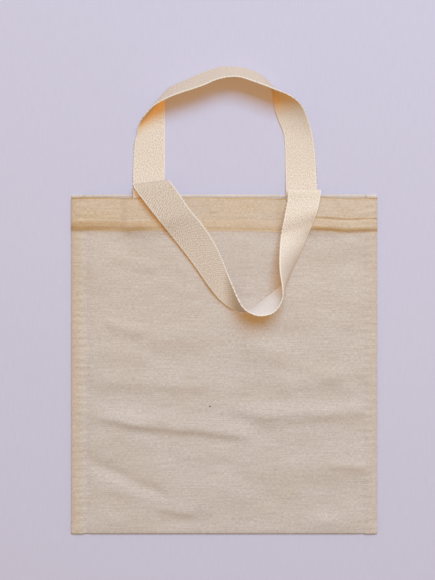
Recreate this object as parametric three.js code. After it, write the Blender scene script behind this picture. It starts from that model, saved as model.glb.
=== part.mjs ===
// A small unbleached cotton bag with two handles of flat webbing, lying on its back.
// Millimetres. +X to the right, +Y from the bottom fold to the mouth, +Z up through the front.
// Heights count from the surface the bag lies on. While it is built, y = 0 is the mouth edge.
import * as THREE from "three";

// Driving dimensions
const BAG_WIDTH = 298;
const BAG_LENGTH = 330;
const CLOTH = 0.8;
const WEBBING = 1.6;
const WEBBING_WIDTH = 30;
const STITCH = 0.3;
const GAP = 0.3;
const HEM_DEPTH = 32;
const SEAM_ALLOWANCE = 11;
const SEWN_LENGTH = 30;
const PUFF_MARGIN = 35;

// Where each layer starts, counted up through the bag at its mouth
const BACK_TOP = CLOTH;
const BACK_HEM = BACK_TOP + GAP;
const REAR_END = BACK_HEM + CLOTH + GAP;
const REAR_BOX_STITCH = REAR_END + WEBBING + GAP;
const FRONT_BOX_STITCH = REAR_BOX_STITCH + STITCH + GAP;
const FRONT_END = FRONT_BOX_STITCH + STITCH + GAP;
const FRONT_HEM = FRONT_END + WEBBING + GAP;
const FRONT_PANEL = FRONT_HEM + CLOTH + GAP;
const FRONT_STITCH = FRONT_PANEL + CLOTH + GAP;
const HANDLE_REST = FRONT_STITCH + STITCH + GAP;

// At the side seams and the bottom fold the front panel comes down to the back panel
const SIDE_TOP = BACK_HEM + CLOTH + GAP + CLOTH;
const FRONT_TOP = FRONT_PANEL + CLOTH;
const FOLD_RADIUS = SIDE_TOP / 2;

// Where the handles are sewn: the middle of each end, left and right
const REAR_END_X = { left: -73.4, right: 75.2 };
const FRONT_END_X = { left: -73.2, right: 77.2 };

// A handle's route, chosen by hand: the edge that stays low, then the edge that stands up,
// as [x, y, z] pairs joined straight across the webbing. It runs from the left end to the right.
const REAR_ROUTE = [
  [[-58.4, 0.3, 3.0], [-88.4, 0.3, 3.0]],
  [[-57.8, 25, 1.1], [-88.6, 25, 1.1]],
  [[-57.9, 52, 1.1], [-87.6, 48, 1.1]],
  [[-57.9, 78, 1.1], [-85.4, 58, 1.5]],
  [[-57.9, 95, 1.1], [-82.5, 68, 6]],
  [[-57.0, 100.5, 1.1], [-77.0, 74, 14]],
  [[-53.5, 104.5, 1.1], [-68.5, 81.5, 20]],
  [[-47.5, 107.5, 1.1], [-57.8, 87, 24]],
  [[-38.0, 111.5, 1.1], [-44.5, 93, 25.5]],
  [[-22.0, 118.5, 1.1], [-22.0, 101.5, 26]],
  [[-4.0, 124.2, 1.1], [-4.5, 107, 26]],
  [[14.0, 124.2, 1.1], [12.0, 108.5, 26]],
  [[31.0, 119.5, 1.1], [29.0, 103.5, 26]],
  [[42.5, 110.5, 1.1], [46.5, 97, 26]],
  [[47.5, 97.0, 1.1], [61.5, 91.5, 24]],
  [[49.0, 84.0, 1.1], [73.5, 84.0, 17]],
  [[52.9, 72.2, 1.1], [81.0, 71.0, 9]],
  [[58.5, 56.0, 1.1], [86.5, 53.0, 3]],
  [[59.8, 25.0, 1.1], [89.6, 25.0, 1.1]],
  [[60.2, 0.3, 3.0], [90.2, 0.3, 3.0]],
];
const REAR_LEG_START = 1;
const REAR_LEG_END = 18;

// The front handle's heights count from where it rests on the front panel
const FRONT_ROUTE = [
  [[-88.2, 0.3, -3.9], [-58.2, 0.3, -3.9]],
  [[-88.3, 5.0, -3.6], [-56.5, 8.5, -3.6]],
  [[-88.0, 8.3, 0.3], [-55.0, 13.0, 0.3]],
  [[-87.0, 6.5, 4.5], [-51.5, 10.5, 4.5]],
  [[-84.0, 1.2, 4.0], [-45.0, 2.0, 5.0]],
  [[-66.0, -22.5, 1.2], [-33.0, -15.5, 2.0]],
  [[-48.0, -44.5, 1.0], [-22.0, -28.5, 2.5]],
  [[-30.5, -67.0, 0.9], [-11.8, -43.5, 7.5]],
  [[-16.0, -88.5, 0.9], [-4.0, -58.5, 14]],
  [[-5.2, -103.0, 0.9], [2.0, -74.0, 20]],
  [[5.5, -111.8, 0.9], [7.5, -88.5, 25]],
  [[15.0, -115.2, 0.9], [13.0, -102.5, 27]],
  [[22.5, -114.2, 0.9], [20.0, -112.8, 27.5]],
  [[34.0, -106.0, 0.9], [32.0, -118.0, 27.5]],
  [[45.5, -96.5, 0.9], [45.5, -115.0, 27]],
  [[56.0, -88.5, 0.9], [53.5, -104.0, 27.5]],
  [[61.0, -82.0, 0.9], [54.5, -92.0, 28]],
  [[66.4, -68.0, 0.9], [52.5, -76.0, 27]],
  [[75.4, -49.0, 0.9], [52.5, -58.5, 21]],
  [[82.5, -31.5, 1.0], [54.0, -41.0, 11]],
  [[87.9, -18.0, 1.2], [57.0, -24.0, 3.5]],
  [[91.0, -7.0, 2.5], [60.0, -8.5, 2.5]],
  [[92.5, 1.5, 2.0], [61.0, 2.0, 2.0]],
  [[92.5, 3.6, -1.0], [61.8, 4.0, -1.0]],
  [[92.2, 0.6, -3.9], [62.2, 0.6, -3.9]],
];
const FRONT_LEG_START = 5;
const FRONT_LEG_END = 20;

const muslin = new THREE.MeshStandardMaterial({ color: 0xd2c3b4, roughness: 0.95, metalness: 0 });
const webbing = new THREE.MeshStandardMaterial({ color: 0xe8dccb, roughness: 0.9, metalness: 0 });
const thread = new THREE.MeshStandardMaterial({ color: 0xdccdb8, roughness: 0.8, metalness: 0 });

const bag = new THREE.Group();

function addPiece(name, geometry, material) {
  const mesh = new THREE.Mesh(geometry, material);
  mesh.name = name;
  bag.add(mesh);
  return mesh;
}

// A closed solid from rings of four corners, each ring joined to the next, with both ends capped.
function solidFromRings(rings) {
  const positions = rings.flat().flatMap((corner) => corner.toArray());
  const faces = [0, 2, 1, 0, 3, 2];
  for (let ring = 0; ring + 1 < rings.length; ring += 1) {
    for (let corner = 0; corner < 4; corner += 1) {
      const here = ring * 4 + corner;
      const beside = ring * 4 + ((corner + 1) % 4);
      faces.push(here, beside, beside + 4, here, beside + 4, here + 4);
    }
  }
  const last = (rings.length - 1) * 4;
  faces.push(last, last + 1, last + 2, last, last + 2, last + 3);
  const geometry = new THREE.BufferGeometry();
  geometry.setAttribute("position", new THREE.Float32BufferAttribute(positions, 3));
  geometry.setIndex(faces);
  return geometry;
}

// Webbing between two edge curves through the route's rows, from one row to another.
// Each cross line is straight, and the thickness is square to the cross line and the run.
function webbingAlong(route, rest, firstRow, lastRow) {
  const edges = [0, 1].map(
    (side) => new THREE.CatmullRomCurve3(route.map((row) => new THREE.Vector3(...row[side]))),
  );
  const stepsPerRow = 2;
  const steps = (lastRow - firstRow) * stepsPerRow;
  const trim = 0.03;
  const rings = [];
  for (let step = 0; step <= steps; step += 1) {
    const row = THREE.MathUtils.clamp(firstRow + step / stepsPerRow, firstRow + trim, lastRow - trim);
    const along = row / (route.length - 1);
    const [low, high] = edges.map((edge) => edge.getPoint(along));
    const run = edges[0].getTangent(along).add(edges[1].getTangent(along));
    const across = high.clone().sub(low);
    const half = run.cross(across).normalize().multiplyScalar(WEBBING / 2);
    const ring = [
      low.clone().sub(half), high.clone().sub(half), high.clone().add(half), low.clone().add(half),
    ];
    ring.forEach((corner) => corner.setZ(corner.z + rest));
    rings.push(ring);
  }
  return solidFromRings(rings);
}

// A sheet over a grid of x and y stations: its top at heightAt(x, y), one cloth thick below it.
function clothSheet(xs, ys, heightAt, thickness) {
  const positions = [];
  const faces = [];
  for (const drop of [0, thickness]) {
    for (const y of ys) {
      for (const x of xs) positions.push(x, y, heightAt(x, y) - drop);
    }
  }
  const columns = xs.length;
  const below = xs.length * ys.length;
  const quad = (a, b, c, d) => faces.push(a, b, c, a, c, d);
  for (let row = 0; row + 1 < ys.length; row += 1) {
    for (let column = 0; column + 1 < columns; column += 1) {
      const a = row * columns + column;
      const b = a + 1;
      const c = b + columns;
      const d = a + columns;
      quad(a, b, c, d);
      quad(below + d, below + c, below + b, below + a);
      if (row === 0) quad(below + a, below + b, b, a);
      if (row + 2 === ys.length) quad(d, c, below + c, below + d);
      if (column === 0) quad(below + d, below + a, a, d);
      if (column + 2 === columns) quad(b, below + b, below + c, c);
    }
  }
  const geometry = new THREE.BufferGeometry();
  geometry.setAttribute("position", new THREE.Float32BufferAttribute(positions, 3));
  geometry.setIndex(faces);
  return geometry;
}

// A plain block between two corners.
function block(low, high) {
  const size = high.map((value, axis) => value - low[axis]);
  const geometry = new THREE.BoxGeometry(...size);
  geometry.translate(...high.map((value, axis) => (value + low[axis]) / 2));
  return geometry;
}

const SIDE = BAG_WIDTH / 2;
const BOTTOM = -BAG_LENGTH + FOLD_RADIUS + GAP;
const ALLOWANCE_INNER = SIDE - 1 - SEAM_ALLOWANCE;
const HEM_SIDE = ALLOWANCE_INNER - GAP;
const HEM_STITCH_Y = -HEM_DEPTH + 0.7;
const MOUTH_GAP = -GAP;

// The front panel is puffed up by PUFF_MARGIN in from the sides and the bottom, and flat at the mouth.
function frontHeight(x, y) {
  const inFromSide = (SIDE - Math.abs(x)) / PUFF_MARGIN;
  const inFromBottom = (y - BOTTOM) / PUFF_MARGIN;
  const rise = THREE.MathUtils.clamp(Math.min(inFromSide, inFromBottom), 0, 1);
  return SIDE_TOP + (FRONT_TOP - SIDE_TOP) * rise;
}

function buildBackPanel() {
  addPiece("back_panel", block([-SIDE, BOTTOM, 0], [SIDE, 0, CLOTH]), muslin);
  const hemSize = [[-HEM_SIDE, -HEM_DEPTH, BACK_HEM], [HEM_SIDE, MOUTH_GAP, BACK_HEM + CLOTH]];
  addPiece("back_hem", block(...hemSize), muslin);
  const stitch = [
    [-HEM_SIDE, HEM_STITCH_Y, REAR_END],
    [HEM_SIDE, HEM_STITCH_Y + 2 * STITCH, REAR_END + STITCH],
  ];
  addPiece("back_hem_stitch", block(...stitch), thread);
}

// The cloth turns round the bottom in a half circle from the back panel to the front panel.
function buildBottomFold() {
  const section = new THREE.Shape();
  section.absarc(0, 0, FOLD_RADIUS, -Math.PI / 2, Math.PI / 2, false);
  section.lineTo(0, FOLD_RADIUS - CLOTH);
  section.absarc(0, 0, FOLD_RADIUS - CLOTH, Math.PI / 2, -Math.PI / 2, true);
  section.closePath();
  const options = { depth: BAG_WIDTH, bevelEnabled: false, curveSegments: 6 };
  const geometry = new THREE.ExtrudeGeometry(section, options);
  geometry.rotateX(Math.PI / 2);
  geometry.rotateZ(-Math.PI / 2);
  geometry.translate(SIDE, -BAG_LENGTH + FOLD_RADIUS, FOLD_RADIUS);
  addPiece("bottom_fold", geometry, muslin);
}

// Inside each side seam the two raw edges lie together, pressed flat on the back panel.
function buildSideSeams() {
  for (const [side, sign] of [["left", -1], ["right", 1]]) {
    const placed = (inner, outer, z, height) => {
      const xs = [sign * inner, sign * outer].sort((a, b) => a - b);
      return block([xs[0], BOTTOM, z], [xs[1], MOUTH_GAP, z + height]);
    };
    const stitchOuter = SIDE - STITCH;
    const stitchInner = stitchOuter - 2 * STITCH;
    const allowance = placed(ALLOWANCE_INNER, stitchInner - GAP / 2, BACK_HEM, CLOTH);
    addPiece(`${side}_seam_allowance`, allowance, muslin);
    addPiece(`${side}_seam_stitch`, placed(stitchInner, stitchOuter, BACK_HEM, CLOTH), thread);
  }
}

function buildFrontPanel() {
  const rise = SIDE - PUFF_MARGIN;
  const columns = [-SIDE, -rise, rise, SIDE];
  addPiece("front_panel", clothSheet(columns, [BOTTOM, BOTTOM + PUFF_MARGIN, 0], frontHeight, CLOTH), muslin);
  const hemColumns = [-HEM_SIDE, -rise, rise, HEM_SIDE];
  const underPanel = (x, y) => frontHeight(x, y) - CLOTH - GAP;
  const hem = clothSheet(hemColumns, [-HEM_DEPTH, MOUTH_GAP], underPanel, CLOTH);
  addPiece("front_hem", hem, muslin);
  const overPanel = (x, y) => frontHeight(x, y) + GAP + STITCH;
  const stitchRows = [HEM_STITCH_Y, HEM_STITCH_Y + 2 * STITCH];
  addPiece("front_hem_stitch", clothSheet(hemColumns, stitchRows, overPanel, STITCH), thread);
}

// One closed line of stitching: a square with both diagonals, left open in four triangles.
function boxAndCross(centreX, z) {
  const half = 11;
  const line = 0.8;
  const square = (reach) => [[-reach, -reach], [reach, -reach], [reach, reach], [-reach, reach]];
  const outline = new THREE.Shape(square(half).map((point) => new THREE.Vector2(...point)));
  const near = line;
  const far = half - line;
  for (let turn = 0; turn < 4; turn += 1) {
    const angle = (turn * Math.PI) / 2;
    const triangle = [[0, near], [-far + near, far], [far - near, far]];
    const corners = triangle.map((point) =>
      new THREE.Vector2(...point).rotateAround(new THREE.Vector2(), angle));
    outline.holes.push(new THREE.Path(corners));
  }
  const geometry = new THREE.ExtrudeGeometry(outline, { depth: STITCH, bevelEnabled: false });
  geometry.translate(centreX, -SEWN_LENGTH / 2, z);
  return geometry;
}

function buildSewnEnds(handle, centres, endZ, stitchZ) {
  for (const side of ["left", "right"]) {
    const x = centres[side];
    const low = [x - WEBBING_WIDTH / 2, -SEWN_LENGTH, endZ];
    const high = [x + WEBBING_WIDTH / 2, MOUTH_GAP, endZ + WEBBING];
    addPiece(`${handle}_${side}_end`, block(low, high), webbing);
    addPiece(`${handle}_${side}_stitch`, boxAndCross(x, stitchZ), thread);
  }
}

// The free length: a loop, and the short stretch at each end that bends at the mouth.
function buildFreeLength(handle, route, rest, legStart, legEnd) {
  const last = route.length - 1;
  addPiece(`${handle}_left_bend`, webbingAlong(route, rest, 0, legStart), webbing);
  addPiece(`${handle}_loop`, webbingAlong(route, rest, legStart, legEnd), webbing);
  addPiece(`${handle}_right_bend`, webbingAlong(route, rest, legEnd, last), webbing);
}

buildBackPanel();
buildBottomFold();
buildSideSeams();
buildFrontPanel();
buildSewnEnds("rear_handle", REAR_END_X, REAR_END, REAR_BOX_STITCH);
buildSewnEnds("front_handle", FRONT_END_X, FRONT_END, FRONT_BOX_STITCH);
buildFreeLength("rear_handle", REAR_ROUTE, 0, REAR_LEG_START, REAR_LEG_END);
buildFreeLength("front_handle", FRONT_ROUTE, HANDLE_REST, FRONT_LEG_START, FRONT_LEG_END);

// The origin is the middle of the whole length, from the bottom fold to the rear handle's top.
const reach = new THREE.Box3().setFromObject(bag);
bag.position.y = -(reach.min.y + reach.max.y) / 2;

export default bag;
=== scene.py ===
"""A small unbleached muslin bag with two hand loops of herringbone cotton tape, lying on its back."""
import math

import bmesh
import bpy
import numpy as np
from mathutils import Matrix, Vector


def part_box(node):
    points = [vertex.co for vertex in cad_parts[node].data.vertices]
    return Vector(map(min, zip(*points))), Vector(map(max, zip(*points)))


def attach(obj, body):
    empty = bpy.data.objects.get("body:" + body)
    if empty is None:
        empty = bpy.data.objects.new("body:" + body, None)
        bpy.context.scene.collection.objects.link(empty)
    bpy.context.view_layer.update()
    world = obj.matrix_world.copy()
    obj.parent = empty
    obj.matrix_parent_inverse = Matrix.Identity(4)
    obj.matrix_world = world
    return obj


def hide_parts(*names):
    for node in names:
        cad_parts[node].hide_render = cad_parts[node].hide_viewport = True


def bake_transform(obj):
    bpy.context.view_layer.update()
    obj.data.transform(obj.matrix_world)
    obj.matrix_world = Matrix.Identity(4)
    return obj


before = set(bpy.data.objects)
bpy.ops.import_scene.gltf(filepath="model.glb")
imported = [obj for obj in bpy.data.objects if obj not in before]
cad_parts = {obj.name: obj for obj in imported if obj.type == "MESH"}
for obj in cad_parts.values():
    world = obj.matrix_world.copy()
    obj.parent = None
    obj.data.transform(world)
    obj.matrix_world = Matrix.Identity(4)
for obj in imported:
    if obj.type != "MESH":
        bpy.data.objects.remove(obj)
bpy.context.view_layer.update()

MM = 0.001

# ---------------------------------------------------------------- sizes from the frame

HALF_WIDTH = float(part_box("back_panel")[1][0])
MOUTH = float(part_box("back_panel")[1][1])
BOTTOM = float(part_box("bottom_fold")[0][1])
HALF_LENGTH = (MOUTH - BOTTOM) / 2
FOLD_RADIUS = float(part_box("bottom_fold")[1][2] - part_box("bottom_fold")[0][2]) / 2
FRONT_TOP = float(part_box("front_panel")[1][2])
# The hem's solid is 0.5 mm deeper than the hem, and each allowance's solid starts 1 mm inside the side.
HEM_DEPTH = MOUTH - float(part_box("front_hem")[0][1]) - 0.5 * MM
ALLOWANCE = HALF_WIDTH - float(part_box("right_seam_allowance")[0][0]) - 1 * MM
SEWN_LENGTH = MOUTH - float(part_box("front_handle_left_end")[0][1])


def middle(node, axis):
    """The middle of a CAD node's box along one axis."""
    low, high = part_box(node)
    return float(low[axis] + high[axis]) / 2


FRONT_END_Z = middle("front_handle_left_end", 2)
REAR_END_Z = middle("rear_handle_left_end", 2)

# ---------------------------------------------------------------- sizes of the real thing

CLOTH = 0.45 * MM  # thickness of the muslin
TAPE = 1.5 * MM  # thickness of the handles' tape
TAPE_WIDTH = 30 * MM
FIRST_TURN = 10 * MM  # width of the hem's first turn
LAYER = 0.5 * MM  # from one of the hem's layers to the next
LAYER_INSET = 1.3 * CLOTH  # how far the turned-in layers are drawn in from the folded edges
SEAM_ROLL = 0.5 * MM  # radius of the rolled edge at a side seam
STITCH_PITCH = 3.2 * MM
STITCH_LENGTH = 2.7 * MM
STITCH_IN = 1.6 * MM  # from the hem's lower edge to its stitches
THREAD_RADIUS = 0.32 * MM
PICOT_PITCH = 3.6 * MM
PICOT_YARN = 0.36 * MM  # radius of the yarn
PICOT_REACH = 1.0 * MM  # radius of a loop, to the middle of its yarn
RIB_PITCH = 2.2 * MM

# A handle's route, in mm: the edge that stays low, then the edge that stands up.
# x is across the bag, y from the mouth edge and z from what the handle rests on.
REAR_ROUTE = [
    [(-58.4, 0.3, 3.0), (-88.4, 0.3, 3.0)],
    [(-57.8, 25, 0.9), (-88.6, 25, 0.9)],
    [(-57.9, 52, 0.9), (-87.6, 48, 0.9)],
    [(-57.9, 78, 0.9), (-85.4, 58, 1.5)],
    [(-57.9, 95, 0.9), (-82.5, 68, 6)],
    [(-57.0, 100.5, 0.9), (-77.0, 74, 14)],
    [(-53.5, 104.5, 0.9), (-68.5, 81.5, 20)],
    [(-47.5, 107.5, 0.9), (-57.8, 87, 24)],
    [(-38.0, 111.5, 0.9), (-44.5, 92.4, 25.5)],
    [(-22.0, 118.5, 0.9), (-22.0, 99.6, 26)],
    [(-4.0, 124.2, 0.9), (-5.5, 106.4, 26)],
    [(14.0, 124.2, 0.9), (12.0, 108.5, 26)],
    [(31.0, 119.5, 0.9), (29.0, 103.5, 26)],
    [(42.5, 110.5, 0.9), (46.5, 97, 26)],
    [(47.5, 97.0, 0.9), (61.5, 91.5, 24)],
    [(49.0, 84.0, 0.9), (73.5, 84.0, 17)],
    [(52.9, 72.2, 0.9), (81.0, 71.0, 9)],
    [(58.5, 56.0, 0.9), (86.5, 53.0, 3)],
    [(59.8, 25.0, 0.9), (89.6, 25.0, 0.9)],
    [(60.2, 0.3, 3.0), (90.2, 0.3, 3.0)],
]
FRONT_ROUTE = [
    [(-88.2, 0.3, -3.9), (-58.2, 0.3, -3.9)],
    [(-88.3, 5.0, -3.6), (-56.5, 8.5, -3.6)],
    [(-88.0, 8.3, 0.3), (-55.0, 13.0, 0.3)],
    [(-87.0, 6.5, 4.5), (-51.5, 10.5, 4.5)],
    [(-83.8, 1.2, 6.5), (-45.0, 2.0, 5.5)],
    [(-65.6, -22.3, 7.0), (-33.0, -15.5, 6.0)],
    [(-47.8, -44.3, 3.4), (-22.0, -28.5, 5.0)],
    [(-30.5, -67.0, 3.0), (-11.8, -43.5, 3.0)],
    [(-15.8, -88.2, 2.6), (-4.0, -58.5, 4.0)],
    [(-4.6, -102.0, 0.9), (2.0, -74.0, 6.5)],
    [(6.3, -110.2, 0.9), (7.5, -88.0, 15.5)],
    [(15.3, -113.8, 0.9), (13.0, -101.8, 23)],
    [(22.5, -113.0, 0.9), (20.0, -111.8, 25)],
    [(34.0, -105.5, 0.9), (32.0, -117.0, 25)],
    [(45.5, -96.0, 0.9), (45.5, -114.2, 25.5)],
    [(56.0, -88.0, 0.9), (53.5, -103.5, 26)],
    [(61.5, -81.5, 0.9), (54.2, -91.5, 27)],
    [(67.8, -67.5, 0.9), (51.8, -75.5, 26)],
    [(77.0, -48.8, 0.9), (52.0, -58.0, 20)],
    [(84.0, -31.3, 1.2), (54.0, -40.8, 10)],
    [(88.6, -18.0, 5.8), (57.0, -24.0, 8.5)],
    [(91.2, -7.0, 4.0), (60.0, -8.5, 4.0)],
    [(92.5, 1.5, 3.2), (61.0, 2.0, 3.2)],
    [(92.5, 3.6, -0.4), (61.8, 4.0, -0.4)],
    [(92.2, 0.6, -3.9), (62.2, 0.6, -3.9)],
]

# Folds left in the front by handling: the crest's start and end in mm from the middle of the mouth
# edge, the widths of its far and near slopes in mm, and its height beside the other folds, below
# zero for a valley. A height of 1 is FOLD_SCALE mm.
FOLD_SCALE = 2.1
FOLDS = [
    [(-140, -214), (37, -237), 11, 5.5, 1.7],
    [(4, -212), (146, -211), 8, 9, 1.7],
    [(-140, -180), (-6, -185), 16, 8, 1.2],
    [(-143, -256), (-52, -296), 6, 6, -1.0],
    [(96, -262), (148, -266), 5, 4, 0.7],
    [(-66, -304), (-26, -309), 7, 4, 0.6],
    [(14, -146), (66, -156), 10, 14, 0.9],
    [(-118, -58), (-60, -74), 7, 7, 0.7],
    [(-118, -124), (-74, -134), 5, 6, 0.8],
    [(-132, -150), (-70, -158), 8, 9, 0.6],
    [(40, -184), (128, -176), 9, 12, 0.8],
    [(104, -3), (121, -14), 4, 5, 0.7],
    [(-15, -2), (-12, -19), 4, 4, 0.4],
    [(14, -50), (66, -58), 15, 38, 1.0],
    [(-92, -22), (-18, -100), 12, 17, 0.8],
]

# Flecks of cotton seed caught in the cloth: x and y in mm from the middle of the mouth edge, and length.
SEED_FLECKS = [
    (-13.9, -205.4, 2.1), (49.5, -266.1, 1.2), (56.4, -313.3, 1.1), (99.3, -315, 0.8),
    (-109.6, -320.6, 1.1), (-124.7, -18.5, 1.0), (36.8, -58.6, 0.9), (122.8, -253.8, 0.9),
]

# ---------------------------------------------------------------- small tools


def ease(value):
    """0 below 0, 1 above 1, and between them the smooth rise 3 t^2 - 2 t^3."""
    share = np.clip(value, 0, 1)
    return share * share * (3 - 2 * share)


def bump(distance, width):
    """A bell of height 1, e to the power -(distance / width)^2, gone about two widths away."""
    return np.exp(-((distance / width) ** 2))


def smoother(share):
    """From 0 to 1 like ease, and with no kink in its slope: 6 t^5 - 15 t^4 + 10 t^3."""
    return share * share * share * (share * (share * 6 - 15) + 10)


def rumple(x, y, size, seed):
    """Smooth heights from -1 to 1: random values on a square grid of that size, eased in between."""
    count = 128
    heights = np.random.default_rng(seed).uniform(-1, 1, (count, count))
    across = x / size + count / 2
    along = y / size + count / 2
    column = np.floor(across).astype(int)
    row = np.floor(along).astype(int)
    right = smoother(across - column)
    up = smoother(along - row)
    near = heights[row % count, column % count] * (1 - right)
    near = near + heights[row % count, (column + 1) % count] * right
    far = heights[(row + 1) % count, column % count] * (1 - right)
    far = far + heights[(row + 1) % count, (column + 1) % count] * right
    return near * (1 - up) + far * up


def mesh_piece(name, points, corners, sizes, flat=None):
    """An object from vertices, the faces' corners in one row, and each face's corner count. flat is
    each vertex's place on the flat cloth in metres, kept as the map that the weave follows."""
    mesh = bpy.data.meshes.new(name)
    mesh.vertices.add(len(points))
    mesh.vertices.foreach_set("co", np.asarray(points, np.float32).ravel())
    mesh.loops.add(len(corners))
    mesh.loops.foreach_set("vertex_index", np.asarray(corners, np.int32))
    mesh.polygons.add(len(sizes))
    starts = np.concatenate([[0], np.cumsum(sizes)[:-1]])
    mesh.polygons.foreach_set("loop_start", starts.astype(np.int32))
    mesh.polygons.foreach_set("use_smooth", np.ones(len(sizes), bool))
    if flat is not None:
        weave = mesh.uv_layers.new(name="Weave")
        weave.data.foreach_set("uv", np.asarray(flat, np.float32)[corners].ravel())
    mesh.update(calc_edges=True)
    piece = bpy.data.objects.new(name, mesh)
    bpy.context.collection.objects.link(piece)
    return piece


def grid_corners(rows, columns, wrap=False):
    """Corners of the quads over a grid of vertices. With wrap, the last column joins the first."""
    row, column = np.meshgrid(np.arange(rows - 1), np.arange(columns - (not wrap)), indexing="ij")
    beside = (column + 1) % columns
    quads = np.stack(
        [row * columns + column, row * columns + beside,
         (row + 1) * columns + beside, (row + 1) * columns + column], -1)
    return quads.reshape(-1, 4)


def turn_outwards(piece):
    """Makes every closed shell of a piece face outwards."""
    shell = bmesh.new()
    shell.from_mesh(piece.data)
    bmesh.ops.recalc_face_normals(shell, faces=shell.faces)
    shell.to_mesh(piece.data)
    shell.free()


def mark(piece, name, values):
    """Keeps one value for each vertex of a piece, for its material to read."""
    kept = piece.data.attributes.new(name, "FLOAT", "POINT")
    kept.data.foreach_set("value", np.asarray(values, np.float32))


def follow(piece):
    """Bakes the piece's transform into its mesh."""
    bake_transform(piece)


def vertices_of(piece):
    """The vertices of a piece as rows of x, y and z."""
    places = np.empty(len(piece.data.vertices) * 3, np.float32)
    piece.data.vertices.foreach_get("co", places)
    return places.reshape(-1, 3).astype(float)


# ---------------------------------------------------------------- the cloth's shape


def mouth_dip(x):
    """How far the front mouth edge lies below the back one: about 3 mm, wandering by 1 mm, and
    more beside the handles."""
    wander = 0.6 * rumple(x, 0 * x, 46 * MM, 3) + 0.35 * rumple(x, 0 * x, 17 * MM, 4)
    beside = bump(x - 52 * MM, 12 * MM) + bump(x - 118 * MM, 15 * MM) + bump(x + 96 * MM, 12 * MM)
    return (3.3 + wander + 1.3 * beside) * MM


def fold(x, y, start, end, far, near, height):
    """A fold along a line: its height times a bell of the distance from the line, one width wide on
    the mouth's side and another on the bottom's side. It wanders and fades out at both ends."""
    start = np.array(start) * MM
    run = np.array(end) * MM - start
    length = np.hypot(*run)
    along = ((x - start[0]) * run[0] + (y - start[1]) * run[1]) / length
    aside = ((y - start[1]) * run[0] - (x - start[0]) * run[1]) / length
    wander = 1.5 * MM * rumple(along, 0 * along, 30 * MM, int(length / MM))
    aside = aside + wander
    fade = ease(along / (length * 0.25)) * ease((length - along) / (length * 0.15))
    width = np.where(aside > 0, far, near) * MM
    return FOLD_SCALE * height * MM * fade * bump(aside, width)


def within(value, low, high, shoulder):
    """1 between two limits, 0 outside them, with smooth shoulders of that width outside."""
    return ease((value - low) / shoulder + 1) * ease((high - value) / shoulder + 1)


def front_form(x, y):
    """Height of the front panel without its folds: a low rounded dome that rises from the side
    seams and the bottom fold, and a thicker block at the mouth, where the handles' sewn ends and
    the two hems lie between the panels."""
    down = y - MOUTH
    from_side = HALF_WIDTH - np.abs(x)
    from_bottom = y - BOTTOM
    side_rise = 1 - (1 - np.clip(from_side / (34 * MM), 0, 1)) ** 2.4
    bottom_rise = 1 - (1 - np.clip(from_bottom / (20 * MM), 0, 1)) ** 2.6
    sewn_shut = ease(from_bottom / (12 * MM)) * (1 - ease(from_side / (8 * MM)))
    edge = 2 * FOLD_RADIUS - 0.8 * MM * sewn_shut
    lower_sag = 1.0 * MM * ease((-down - 125 * MM) / (110 * MM))
    body = FRONT_TOP - 3.3 * MM - lower_sag
    over_ends = within(np.abs(x + 2 * MM), 60 * MM, 90 * MM, 9 * MM)
    right_corner = ease((x - 88 * MM) / (12 * MM))
    block = FRONT_TOP - 2.7 * MM + 2.6 * MM * over_ends
    block = block + 1.2 * MM * right_corner * (1 - over_ends)
    body = body + (block - body) * ease((down + 43 * MM) / (12 * MM))
    mouth_tilt = 2.2 * MM * right_corner * ease((down + 20 * MM) / (18 * MM))
    body = body - mouth_tilt
    return edge + (body - edge) * side_rise * bottom_rise


def front_face(x, y):
    """Height of the front panel's outer face: its form, with its folds, the side seams and the
    hem."""
    from_side = HALF_WIDTH - np.abs(x)
    loose = ease(from_side / (16 * MM)) * ease((y - BOTTOM) / (14 * MM))
    below_hem = ease((MOUTH - y - 34 * MM) / (12 * MM))
    height = front_form(x, y) + (slack_waves(x, y, below_hem) + handling_folds(x, y)) * loose
    return height + seam_relief(x, y, below_hem) + hem_relief(x, y)


def slack_waves(x, y, below_hem):
    """The panel's own unevenness: four sizes of waves, longer across the bag than up it, that are
    weaker in the stiff hem."""
    wave = 1.2 * rumple(x, y * 1.9, 60 * MM, 11) + 0.8 * rumple(x, y * 1.7, 31 * MM, 12)
    wave = wave + 0.3 * rumple(x, y * 1.4, 15 * MM, 13) + 0.1 * rumple(x, y, 7 * MM, 14)
    return wave * MM * (0.3 + 0.7 * below_hem)


def handling_folds(x, y):
    """All the folds that handling has left, added up."""
    total = 0 * x
    for line in FOLDS:
        total = total + fold(x, y - MOUTH, *line)
    return total


def seam_relief(x, y, below_hem):
    """Beside the side seams: puckers that the stitches draw in, a ridge over the allowance, and an
    uneven furrow along its raw edge."""
    from_side = HALF_WIDTH - np.abs(x)
    puckers = np.sin(y / (7.4 * MM) * 2 * math.pi + 2.2 * rumple(x, y, 25 * MM, 21))
    puckers = 0.3 * MM * puckers * bump(from_side - 10 * MM, 6 * MM)
    ridge = ease(from_side / (2 * MM)) * ease((ALLOWANCE + 2 * MM - from_side) / (2 * MM))
    furrow = 0.6 + 0.4 * rumple(x, y, 40 * MM, 23)
    furrow = furrow * bump(from_side - ALLOWANCE - 4 * MM, 3.5 * MM) * below_hem
    return puckers + 0.45 * MM * ridge - 1.1 * MM * furrow


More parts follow.
